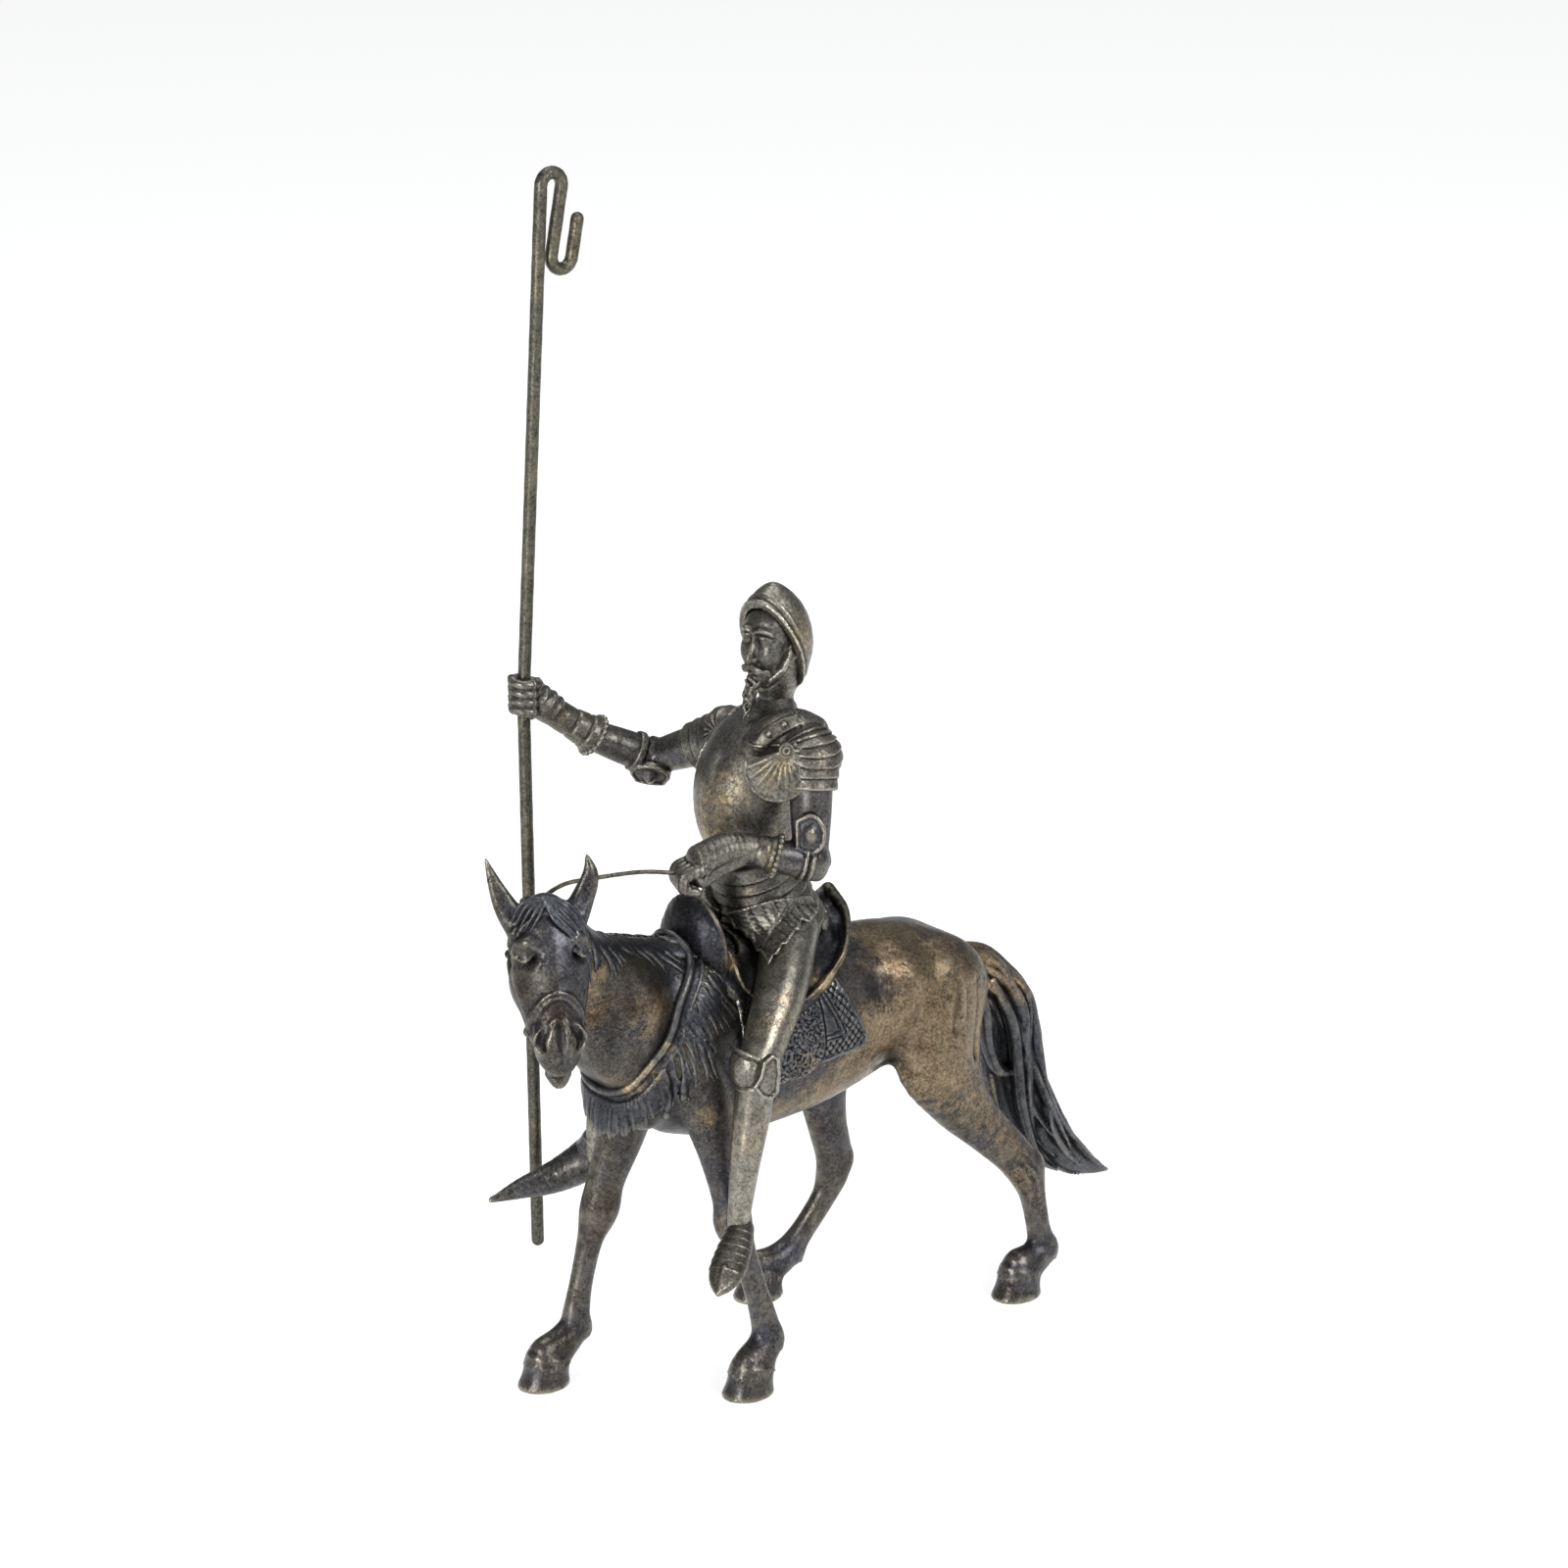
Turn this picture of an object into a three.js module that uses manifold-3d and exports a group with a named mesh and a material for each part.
// Equestrian statuette: an armoured rider on a walking horse, holding a tall rod with a bent hook.
// Millimetres, +Z up. The horse faces -X and its left side is -Y. Five cast or bent metal pieces:
// the horse, its saddle, the rider, the rod and the stiff wire rein.

import * as THREE from 'three';
import { mergeVertices } from 'three/addons/utils/BufferGeometryUtils.js';
import Module from 'manifold-3d';

// Driving dimensions, in millimetres
const WITHERS_HEIGHT = 110;
const ROD_DIAMETER = 3;
const ROD_LENGTH_BELOW_HAND = 137;
const ROD_LENGTH_ABOVE_HAND = 118;
const HOOK_BEND_RADIUS = 2.9;
const HOOK_RETURN_LENGTH = 15.5;
const HOOK_TIP_LENGTH = 10;
const REIN_DIAMETER = 1;
const CLOTH_THICKNESS = 0.9;
const SADDLE_THICKNESS = 2.4;
const FIT_GAP = 0.3;

// Facet budgets of the cast pieces, in triangles
const HORSE_FACETS = 4700;
const SADDLE_FACETS = 760;
const RIDER_FACETS = 3600;

// The casts are sculpted in units of which the horse's withers are 110 high, whatever its real height
const WITHERS_UNITS = 110;
const UNIT = WITHERS_HEIGHT / WITHERS_UNITS;
const CELL = 1.0;
const FACET_ALLOWANCE = 0.3;
const FAR = 1e3;
const LEFT = -1;
const RIGHT = 1;

const wasm = await Module();
wasm.setup();

// Small vector and number helpers

const add = (a, b, share = 1) => a.map((value, k) => value + b[k] * share);
const subtract = (a, b) => a.map((value, k) => value - b[k]);
const dot = (a, b) => a[0] * b[0] + a[1] * b[1] + a[2] * b[2];
const cross = (a, b) => [a[1] * b[2] - a[2] * b[1], a[2] * b[0] - a[0] * b[2], a[0] * b[1] - a[1] * b[0]];
const size = (a) => Math.sqrt(dot(a, a));
const unit = (a) => a.map((value) => value / size(a));
const mix = (a, b, t) => a.map((value, k) => value + (b[k] - value) * t);
const clamp = (value, low, high) => Math.min(high, Math.max(low, value));
const degrees = (angle) => (angle * Math.PI) / 180;
const range = (count, make) => Array.from({ length: count }, (unused, k) => make(k));

function smoothStep(value) {
  const t = clamp(value, 0, 1);
  return t * t * (3 - 2 * t);
}

function smoothMin(a, b, blend) {
  if (blend <= 0) return Math.min(a, b);
  const h = clamp(0.5 + (0.5 * (b - a)) / blend, 0, 1);
  return b + (a - b) * h - blend * h * (1 - h);
}

// A smooth curve through rows of numbers, with `steps` rows between each pair
function throughRows(rows, steps) {
  const fine = [];
  for (let k = 0; k + 1 < rows.length; k += 1) {
    const before = rows[Math.max(0, k - 1)];
    const after = rows[Math.min(rows.length - 1, k + 2)];
    for (let step = 0; step < steps; step += 1) {
      const t = step / steps;
      fine.push(rows[k].map((value, i) => {
        const next = rows[k + 1][i];
        const slopeIn = (next - before[i]) / 2;
        const slopeOut = (after[i] - value) / 2;
        const bend = 3 * (next - value) - 2 * slopeIn - slopeOut;
        const twist = 2 * (value - next) + slopeIn + slopeOut;
        return value + t * (slopeIn + t * (bend + t * twist));
      }));
    }
  }
  fine.push(rows[rows.length - 1]);
  return fine;
}

// Distance to an ellipsoid of half-widths a, b, c for a point at x, y, z in its own axes
function ellipsoidDistance(x, y, z, a, b, c) {
  const [u, v, w] = [x / a, y / b, z / c];
  const near = Math.sqrt(u * u + v * v + w * w);
  const steep = Math.sqrt((u * u) / (a * a) + (v * v) / (b * b) + (w * w) / (c * c));
  return steep > 1e-9 ? (near * (near - 1)) / steep : -Math.min(a, b, c);
}

// Shapes. Each has the box it fills and its distance function.

// A limb is a sweep of oval sections through stations [x, y, z, half-width, half-depth].
// The half-depth lies along `deep`, squared up to the limb's own direction.
function limb(stations, { deep = [1, 0, 0], steps = 5 } = {}) {
  const rows = throughRows(stations.map((row) => (row.length < 5 ? [...row, row[3]] : row)), steps);
  const centres = rows.map((row) => row.slice(0, 3));
  const frames = rows.map((row, k) => {
    const along = unit(subtract(centres[Math.min(k + 1, rows.length - 1)], centres[Math.max(k - 1, 0)]));
    const depth = unit(add(deep, along, -dot(deep, along)));
    return { along, depth, width: cross(along, depth) };
  });
  const segments = range(rows.length - 1, (k) => {
    const span = subtract(centres[k + 1], centres[k]);
    const reach = size(span) / 2 + Math.max(rows[k][3], rows[k][4], rows[k + 1][3], rows[k + 1][4]);
    return {
      from: centres[k],
      span,
      length2: dot(span, span),
      middle: mix(centres[k], centres[k + 1], 0.5),
      reach,
      sizes: [rows[k].slice(3, 5), rows[k + 1].slice(3, 5)],
      frames: [frames[k], frames[k + 1]],
    };
  });
  const reach = Math.max(...rows.map((row) => Math.max(row[3], row[4])));
  return {
    low: [0, 1, 2].map((k) => Math.min(...centres.map((p) => p[k])) - reach),
    high: [0, 1, 2].map((k) => Math.max(...centres.map((p) => p[k])) + reach),
    distance(p) {
      let nearest = FAR;
      for (const { from, span, length2, middle, reach: far, sizes, frames: ends } of segments) {
        const away = nearest + far;
        const dx = p[0] - middle[0];
        const dy = p[1] - middle[1];
        const dz = p[2] - middle[2];
        if (away > 0 && dx * dx + dy * dy + dz * dz > away * away) continue;
        const x = p[0] - from[0];
        const y = p[1] - from[1];
        const z = p[2] - from[2];
        const t = clamp((x * span[0] + y * span[1] + z * span[2]) / length2, 0, 1);
        const qx = x - span[0] * t;
        const qy = y - span[1] * t;
        const qz = z - span[2] * t;
        const wide = sizes[0][0] + (sizes[1][0] - sizes[0][0]) * t;
        const thick = sizes[0][1] + (sizes[1][1] - sizes[0][1]) * t;
        const { width, depth, along } = ends[t < 0.5 ? 0 : 1];
        const d = ellipsoidDistance(
          qx * width[0] + qy * width[1] + qz * width[2],
          qx * depth[0] + qy * depth[1] + qz * depth[2],
          qx * along[0] + qy * along[1] + qz * along[2],
          wide,
          thick,
          Math.min(wide, thick),
        );
        if (d < nearest) nearest = d;
      }
      return nearest;
    },
  };
}

// A sleeve is a stretch of cone between two flat ends, each with its half-width and half-depth
function sleeve(from, to, sizesFrom, sizesTo, deep = [1, 0, 0]) {
  const span = subtract(to, from);
  const length = size(span);
  const along = unit(span);
  const depth = unit(add(deep, along, -dot(deep, along)));
  const width = cross(along, depth);
  const reach = Math.max(...sizesFrom, ...sizesTo);
  return {
    low: [0, 1, 2].map((k) => Math.min(from[k], to[k]) - reach),
    high: [0, 1, 2].map((k) => Math.max(from[k], to[k]) + reach),
    distance(p) {
      const q = subtract(p, from);
      const s = dot(q, along);
      const [wide, thick] = mix(sizesFrom, sizesTo, clamp(s / length, 0, 1));
      const x = dot(q, width);
      const y = dot(q, depth);
      return Math.max(ellipsoidDistance(x, y, 0, wide, thick, 1), -s, s - length);
    },
  };
}

// An ellipsoid at a centre, its first half-width along `first` and its third along `third`
function ball(centre, radii, { first = [1, 0, 0], third = [0, 0, 1] } = {}) {
  const halves = Array.isArray(radii) ? radii : [radii, radii, radii];
  const c = unit(third);
  const a = unit(add(first, c, -dot(first, c)));
  const b = cross(c, a);
  const reach = Math.max(...halves);
  return {
    low: centre.map((value) => value - reach),
    high: centre.map((value) => value + reach),
    distance(p) {
      const q = subtract(p, centre);
      return ellipsoidDistance(dot(q, a), dot(q, b), dot(q, c), ...halves);
    },
  };
}

// A block between two corners, cut back by flat sides where asked
function block(low, high) {
  const middle = mix(low, high, 0.5);
  const half = subtract(high, middle);
  return {
    low,
    high,
    distance: (p) => Math.max(...[0, 1, 2].map((k) => Math.abs(p[k] - middle[k]) - half[k])),
  };
}

// The part of a shape on the inner side of a plane through a point, with its normal facing out
function trimmed(shape, point, normal) {
  const out = unit(normal);
  return { ...shape, distance: (p) => Math.max(shape.distance(p), dot(subtract(p, point), out)) };
}

// A block of clay: distances to the surface, negative inside, on a cubic lattice
class Clay {
  constructor(low, high) {
    this.start = low.map((value) => Math.floor(value / CELL) - 2);
    this.count = high.map((value, k) => Math.ceil(value / CELL) + 3 - this.start[k]);
    this.values = new Float32Array(this.count[0] * this.count[1] * this.count[2]).fill(FAR);
  }

  index(i, j, k) {
    return i + this.count[0] * (j + this.count[1] * k);
  }

  // Change the clay at each lattice point that lies within reach of a shape's box
  visit(shape, reach, change) {
    const from = shape.low.map((value, k) => Math.max(0, Math.ceil((value - reach) / CELL) - this.start[k]));
    const to = shape.high.map((value, k) => Math.min(this.count[k] - 1, Math.floor((value + reach) / CELL) - this.start[k]));
    for (let k = from[2]; k <= to[2]; k += 1) {
      for (let j = from[1]; j <= to[1]; j += 1) {
        for (let i = from[0]; i <= to[0]; i += 1) {
          const at = this.index(i, j, k);
          const p = [(i + this.start[0]) * CELL, (j + this.start[1]) * CELL, (k + this.start[2]) * CELL];
          this.values[at] = change(this.values[at], shape.distance(p), p);
        }
      }
    }
    return this;
  }

  add(shape, blend = 0) {
    return this.visit(shape, blend + 3 * CELL, (old, d) => smoothMin(old, d, blend));
  }

  cut(shape, blend = 0) {
    return this.visit(shape, blend + 2 * CELL, (old, d) => -smoothMin(-old, d, blend));
  }

  // Lift the surface inside a shape by a height, or sink it by a negative one, with a soft edge
  raise(shape, height, edge = CELL) {
    return this.visit(shape, edge, (old, d) => old - height * smoothStep(0.5 - d / edge));
  }

  // Add the coat of another block of clay that lies inside a region
  coat(base, region, thickness) {
    return this.visit(region, 0, (old, d, p) => Math.min(old, Math.max(base.at(p) - thickness, d)));
  }

  // Keep clear of another block of clay
  clear(other, gap) {
    const everywhere = block(this.corner([0, 0, 0]), this.corner(this.count));
    return this.visit(everywhere, 0, (old, d, p) => Math.max(old, gap - other.at(p)));
  }

  copy() {
    const twin = Object.create(Clay.prototype);
    return Object.assign(twin, { start: this.start, count: this.count, values: this.values.slice() });
  }

  corner(steps) {
    return steps.map((value, k) => (value + this.start[k]) * CELL);
  }

  // The distance at any point, worked out from the eight lattice points around it
  at(p) {
    const spot = p.map((value, k) => value / CELL - this.start[k]);
    const base = spot.map(Math.floor);
    if (base.some((value, k) => value < 0 || value >= this.count[k] - 1)) return FAR;
    const [u, v, w] = spot.map((value, k) => value - base[k]);
    let sum = 0;
    for (let corner = 0; corner < 8; corner += 1) {
      const [i, j, k] = [corner & 1, (corner >> 1) & 1, corner >> 2];
      const share = (i ? u : 1 - u) * (j ? v : 1 - v) * (k ? w : 1 - w);
      sum += share * this.values[this.index(base[0] + i, base[1] + j, base[2] + k)];
    }
    return sum;
  }

  slope(p) {
    return unit([0, 1, 2].map((k) => {
      const step = [0, 0, 0];
      step[k] = CELL;
      return this.at(add(p, step)) - this.at(subtract(p, step)) + 1e-9;
    }));
  }

  // The point of the surface nearest to a given one, or a little above it
  onSurface(point, lift = 0) {
    let p = point;
    for (let turn = 0; turn < 8; turn += 1) p = add(p, this.slope(p), clamp(lift - this.at(p), -CELL, CELL));
    return p;
  }

  // Move the surface past a lattice point wherever it would pinch, so that each cube holds one patch
  unpinch(offset) {
    const whole = (mask) => {
      let reached = mask & -mask;
      for (let turn = 0; turn < 8; turn += 1) {
        for (let c = 0; c < 8; c += 1) {
          if ((mask >> c) & 1 && [1, 2, 4].some((bit) => (reached >> (c ^ bit)) & 1)) reached |= 1 << c;
        }
      }
      return reached === mask;
    };
    const sound = range(256, (mask) => whole(mask) && whole(255 - mask));
    const moved = new Set();
    for (let changed = true; changed;) {
      changed = false;
      for (let base = 0; base + offset[7] < this.values.length; base += 1) {
        const mask = this.mask(base, offset);
        if (sound[mask]) continue;
        const shallow = (c) => Math.abs(this.values[base + offset[c]]);
        const free = range(8, (c) => c).filter((c) => !moved.has(base + offset[c])).sort((m, n) => shallow(m) - shallow(n));
        const best = free.find((c) => sound[mask ^ (1 << c)]) ?? free[0];
        if (best === undefined) continue;
        const at = base + offset[best];
        this.values[at] = (this.values[at] < 0 ? 0.02 : -0.02) * CELL;
        moved.add(at);
        changed = true;
      }
    }
  }

  mask(base, offset) {
    let bits = 0;
    for (let c = 0; c < 8; c += 1) if (this.values[base + offset[c]] < 0) bits |= 1 << c;
    return bits;
  }

  // The zero surface: one vertex in each cube that it crosses, one four-sided facet on each edge
  surface() {
    const strides = [1, this.count[0], this.count[0] * this.count[1]];
    const corners = range(8, (c) => [c & 1, (c >> 1) & 1, c >> 2]);
    const offset = corners.map((corner) => dot(corner, strides));
    this.unpinch(offset);
    const points = [];
    const vertexIn = new Int32Array(this.values.length).fill(-1);
    const cubes = [];
    for (let base = 0; base + offset[7] < this.values.length; base += 1) {
      const mask = this.mask(base, offset);
      if (mask === 0 || mask === 255) continue;
      let [total, sum] = [0, [0, 0, 0]];
      for (let c = 0; c < 8; c += 1) {
        for (const bit of [1, 2, 4]) {
          if (c & bit || ((mask >> c) & 1) === ((mask >> (c | bit)) & 1)) continue;
          const [from, to] = [this.values[base + offset[c]], this.values[base + offset[c | bit]]];
          sum = add(sum, mix(corners[c], corners[c | bit], from / (from - to)));
          total += 1;
        }
      }
      const i = base % strides[1];
      const j = Math.floor(base / strides[1]) % this.count[1];
      const k = Math.floor(base / strides[2]);
      vertexIn[base] = points.push(this.corner(add([i, j, k], sum, 1 / total))) - 1;
      cubes.push(base);
    }
    const triangles = [];
    for (const base of cubes) {
      for (const axis of [0, 1, 2]) {
        const [u, v] = [strides[(axis + 1) % 3], strides[(axis + 2) % 3]];
        const inside = this.values[base] < 0;
        if (inside === this.values[base + strides[axis]] < 0) continue;
        const ring = [base, base - u, base - u - v, base - v].map((at) => vertexIn[at]);
        if (!inside) ring.reverse();
        const diagonal = (m, n) => size(subtract(points[ring[m]], points[ring[n]]));
        if (diagonal(0, 2) > diagonal(1, 3)) ring.push(ring.shift());
        triangles.push([ring[0], ring[1], ring[2]], [ring[0], ring[2], ring[3]]);
      }
    }
    return { points, triangles };
  }
}

// Fewer facets: collapse the edges that change the surface least, until the budget is met.
// An edge goes only where the surface stays closed and no facet turns over.
function withFewerFacets({ points, triangles }, budget) {
  const facets = triangles.map((t) => t.slice());
  const around = points.map(() => new Set());
  const errors = points.map(() => new Float64Array(10));
  const normalOf = (a, b, c) => cross(subtract(b, a), subtract(c, a));
  facets.forEach((facet, f) => {
    const corners = facet.map((v) => points[v]);
    const normal = normalOf(...corners);
    const area = size(normal);
    if (area > 1e-12) {
      const [x, y, z] = normal.map((value) => value / area);
      const w = -dot([x, y, z], corners[0]);
      const terms = [x * x, x * y, x * z, x * w, y * y, y * z, y * w, z * z, z * w, w * w];
      for (const v of facet) terms.forEach((term, k) => { errors[v][k] += term * area; });
    }
    for (const v of facet) around[v].add(f);
  });
  const alive = facets.map(() => true);
  const version = new Int32Array(points.length);
  const cost = (q, [x, y, z]) => q[0] * x * x + 2 * q[1] * x * y + 2 * q[2] * x * z + 2 * q[3] * x
    + q[4] * y * y + 2 * q[5] * y * z + 2 * q[6] * y + q[7] * z * z + 2 * q[8] * z + q[9];

  const bestPoint = (q, a, b) => {
    const minor = [q[4] * q[7] - q[5] * q[5], q[2] * q[5] - q[1] * q[7], q[1] * q[5] - q[2] * q[4]];
    const determinant = q[0] * minor[0] + q[1] * minor[1] + q[2] * minor[2];
    const middle = mix(a, b, 0.5);
    const choices = [middle, a, b];
    if (Math.abs(determinant) > 1e-7) {
      const rows = [
        minor,
        [minor[1], q[0] * q[7] - q[2] * q[2], q[1] * q[2] - q[0] * q[5]],
        [minor[2], q[1] * q[2] - q[0] * q[5], q[0] * q[4] - q[1] * q[1]],
      ];
      const free = rows.map((row) => -dot(row, [q[3], q[6], q[8]]) / determinant);
      if (size(subtract(free, middle)) < 2 * size(subtract(a, b))) choices.unshift(free);
    }
    const costs = choices.map((p) => cost(q, p));
    return choices[costs.indexOf(Math.min(...costs))];
  };

  // A heap of candidate edges, cheapest first
  const heap = [];
  const swap = (m, n) => { [heap[m], heap[n]] = [heap[n], heap[m]]; };
  const push = (item) => {
    let at = heap.push(item) - 1;
    while (at > 0 && heap[at].cost < heap[(at - 1) >> 1].cost) {
      swap(at, (at - 1) >> 1);
      at = (at - 1) >> 1;
    }
  };
  const pop = () => {
    const top = heap[0];
    const last = heap.pop();
    if (heap.length) {
      heap[0] = last;
      for (let at = 0; ;) {
        const [left, right] = [2 * at + 1, 2 * at + 2];
        let least = at;
        if (left < heap.length && heap[left].cost < heap[least].cost) least = left;
        if (right < heap.length && heap[right].cost < heap[least].cost) least = right;
        if (least === at) break;
        swap(at, least);
        at = least;
      }
    }
    return top;
  };
  const offer = (a, b) => {
    const q = errors[a].map((value, k) => value + errors[b][k]);
    const target = bestPoint(q, points[a], points[b]);
    const length = size(subtract(points[a], points[b]));
    push({ a, b, target, stamp: version[a] + version[b], cost: cost(q, target) + 1e-5 * length });
  };
  const neighbours = (v) => {
    const found = new Set();
    for (const f of around[v]) for (const other of facets[f]) if (other !== v) found.add(other);
    return found;
  };
  points.forEach((p, v) => { for (const other of neighbours(v)) if (other > v) offer(v, other); });

  let left = facets.length;
  while (left > budget && heap.length) {
    const { a, b, target, stamp } = pop();
    if (!around[a] || !around[b] || stamp !== version[a] + version[b]) continue;
    const [nearA, nearB] = [neighbours(a), neighbours(b)];
    if (!nearA.has(b)) continue;
    const shared = [...nearA].filter((v) => nearB.has(v));
    if (shared.length !== 2 || nearA.size + nearB.size - 4 < 4) continue;
    const staysUpright = (v, gone) => [...around[v]].every((f) => {
      if (facets[f].includes(gone)) return true;
      const before = normalOf(...facets[f].map((n) => points[n]));
      const after = normalOf(...facets[f].map((n) => (n === v ? target : points[n])));
      return size(after) > 1e-4 && dot(before, after) > 0.25 * size(after) * size(before);
    });
    if (!staysUpright(a, b) || !staysUpright(b, a)) continue;
    for (const f of around[b]) {
      if (facets[f].includes(a)) {
        alive[f] = false;
        left -= 1;
        for (const v of facets[f]) if (v !== b) around[v].delete(f);
      } else {
        facets[f][facets[f].indexOf(b)] = a;
        around[a].add(f);
      }
    }
    around[b] = null;
    points[a] = target;
    errors[a] = errors[a].map((value, k) => value + errors[b][k]);
    version[a] += 1;
    for (const v of neighbours(a)) offer(a, v);
  }
  return { points, triangles: facets.filter((facet, f) => alive[f]) };
}

// A sculpted block as a three.js geometry in millimetres
function castGeometry(clay, budget) {
  const { points, triangles } = withFewerFacets(clay.surface(), budget);
  const geometry = new THREE.BufferGeometry();
  geometry.setAttribute('position', new THREE.Float32BufferAttribute(points.flat().map((value) => value * UNIT), 3));
  geometry.setIndex(triangles.flat());
  return geometry;
}

// The horse

const both = (make) => [LEFT, RIGHT].forEach(make);

// The head has its own axes from the poll: down the face, to the horse's left, and out of the forehead
const POLL = [-77.4, -16.6, 133.9];
const HEAD_TURN = degrees(63);
const HEAD_PITCH = degrees(20);
const HEAD_ROLL = degrees(1);
const headForward = [-Math.cos(HEAD_TURN), -Math.sin(HEAD_TURN), 0];
const headLevelLeft = [Math.sin(HEAD_TURN), -Math.cos(HEAD_TURN), 0];
const headLevelDown = [...headForward.slice(0, 2).map((value) => value * Math.sin(HEAD_PITCH)), -Math.cos(HEAD_PITCH)];
const headDown = add(headLevelDown.map((value) => value * Math.cos(HEAD_ROLL)), headLevelLeft, Math.sin(HEAD_ROLL));
const headLeft = add(headLevelLeft.map((value) => value * Math.cos(HEAD_ROLL)), headLevelDown, -Math.sin(HEAD_ROLL));
const headOut = cross(headDown, headLeft);
const onHead = (down, left, out) => add(add(add(POLL, headDown, down), headLeft, left), headOut, out);
const headStations = (rows) => rows.map(([down, left, out, ...sizes]) => [...onHead(down, left, out), ...sizes]);
const headLimb = (rows, options = {}) => limb(headStations(rows), { deep: headOut, ...options });

function sculptTrunk(clay) {
  clay.add(limb([
    [-38, 0, 84.5, 12, 17],
    [-27, 0, 84.5, 14.5, 22.5],
    [-12, 0, 80.5, 15.5, 22.5],
    [6, 0, 79, 16, 20.5],
    [22, 0, 80.5, 15.5, 18.5],
    [36, 0, 81, 14.5, 15.5],
    [48, 0, 78.5, 13, 12],
    [56, 0, 78, 9, 8],
  ], { deep: [0, 0, 1] }));
  clay.add(limb([[-30, 0, 106, 3.4, 4], [-8, 0, 100, 4, 4], [14, 0, 96, 4, 3], [34, 0, 93.6, 5, 3], [50, 0, 87.6, 4.5, 3], [60, 0, 81.5, 3.4, 3]],
    { deep: [0, 0, 1] }), 5);
  both((side) => {
    clay.add(ball([44, side * 8, 80], [13, 8, 13.5]), 5);
    const stride = side === LEFT ? 0 : 12;
    clay.add(limb([[48, side * 8, 79, 5], [49 - stride * 0.6, side * 11, 68, 4.6], [47 - stride, side * 13.4, 58, 3.4]]), 4);
    clay.add(ball([30, side * 9.5, 90], [5, 3.2, 4.5]), 5);
    clay.add(ball([-33, side * 9.5, 90], [7, 4.6, 16], { third: [0.35, 0, 1] }), 4);
    clay.add(ball([-43, side * 5.2, 76], [6.5, 6.2, 8]), 4);
  });
}

function sculptNeck(clay) {
  clay.add(limb([
    [-36, 0, 91, 11.5, 18],
    [-46, -1, 98.6, 9.6, 14.6],
    [-55, -2.6, 105, 8.4, 11.4],
    [-62.5, -5, 112, 7.4, 8.8],
    [-68.5, -7.6, 119.4, 6.8, 7.4],
    [-72, -9.6, 124.6, 6, 6],
  ], { deep: [1, 0, 1] }), 5);
  clay.add(limb([[-30, -1, 105.5, 2.6, 3], [-40, -1, 108, 2.4, 3], [-51, -2.4, 111.6, 2.2, 2.6], [-61, -4.8, 116.6, 2, 2.2]],
    { deep: [1, 0, 1] }), 4);
}

const FORELOCKS = 3;

function sculptHorseHead(clay) {
  clay.add(headLimb([
    [3, 0, -5.2, 5.4, 5.4],
    [7, 0, -5.2, 7.4, 6.8],
    [12.5, 0, -6, 8.5, 8.2],
    [17.5, 0, -6.8, 8.2, 8.8],
    [24, 0, -5.6, 6.6, 7],
    [29.5, 0, -4.4, 5.5, 5.6],
    [33, 0, -4, 5.3, 4.9],
    [35.6, 0, -4.4, 4.1, 4],
  ]), 3);
  clay.add(headLimb([[19, 0, -11.5, 3.4, 4], [28, 0, -9, 2.6, 2.4], [36, 0, -8.4, 2.8, 2.2]]), 2);
  clay.cut(headLimb([[34.6, -5.2, -7.6, 0.5, 0.5], [38.6, 0, -6.6, 0.7, 0.6], [34.6, 5.2, -7.6, 0.5, 0.5]]), 0.5);
  both((side) => {
    clay.add(ball(onHead(16.5, side * 4.8, -10.5), [3.4, 6.6, 6.2], { first: headLeft, third: headDown }), 2);
    clay.cut(ball(onHead(12.4, side * 7.8, -1.8), 2.1), 1);
    clay.add(ball(onHead(12.5, side * 7, -2.6), 1.7), 0.3);
    clay.add(headLimb([[10.4, side * 5.4, 0.4, 0.8], [10, side * 7.4, -1, 1.1], [12.2, side * 8.8, -3.8, 0.7]]), 1);
    clay.add(headLimb([[14, side * 7.6, -4.2, 0.7], [23, side * 5.6, -3.4, 0.8], [27, side * 4.8, -3.4, 0.5]]), 1.6);
    clay.add(ball(onHead(32.4, side * 3.7, -1.6), [2.1, 2, 2.8], { first: headLeft, third: headDown }), 1);
    clay.cut(ball(onHead(32.6, side * 4.5, -0.4), [1.1, 1.3, 1.8], { first: headLeft, third: headDown }), 0.4);
    clay.add(headLimb([[6, side * 5.6, -5, 2.4, 2], [0, side * 8, -5, 2.3, 1.7], [-5, side * 9.9, -4.4, 1.6, 1.2], [side * 1.2 - 9.8, side * 11, -3.4, 0.5, 0.5]],
      { deep: headOut }), 1);
    clay.cut(headLimb([[3, side * 7, -3, 0.9, 0.9], [-1, side * 8.4, -3.1, 1.3, 1.1], [-5, side * 9.8, -3, 0.6, 0.6]]), 0.4);
  });
  clay.add(headLimb([[14, 0, 1.4, 1.2, 0.8], [24, 0, 0.8, 1.2, 0.9], [30, 0, 0.4, 1.4, 0.9]]), 2);
  range(FORELOCKS, (n) => {
    const path = [[0, 0, -0.6], [4, 2.6, 1], [9, 6 + n, 0], [14, 7.6 + 0.8 * n, -2.6], [18 + n, 8 + 0.6 * n, -5]];
    clay.add(headLimb(path.map(([down, left, out], k) => [down + 0.8 * n, left, out, 1.3 - 0.2 * k])), 0.5);
  });
}

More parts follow.
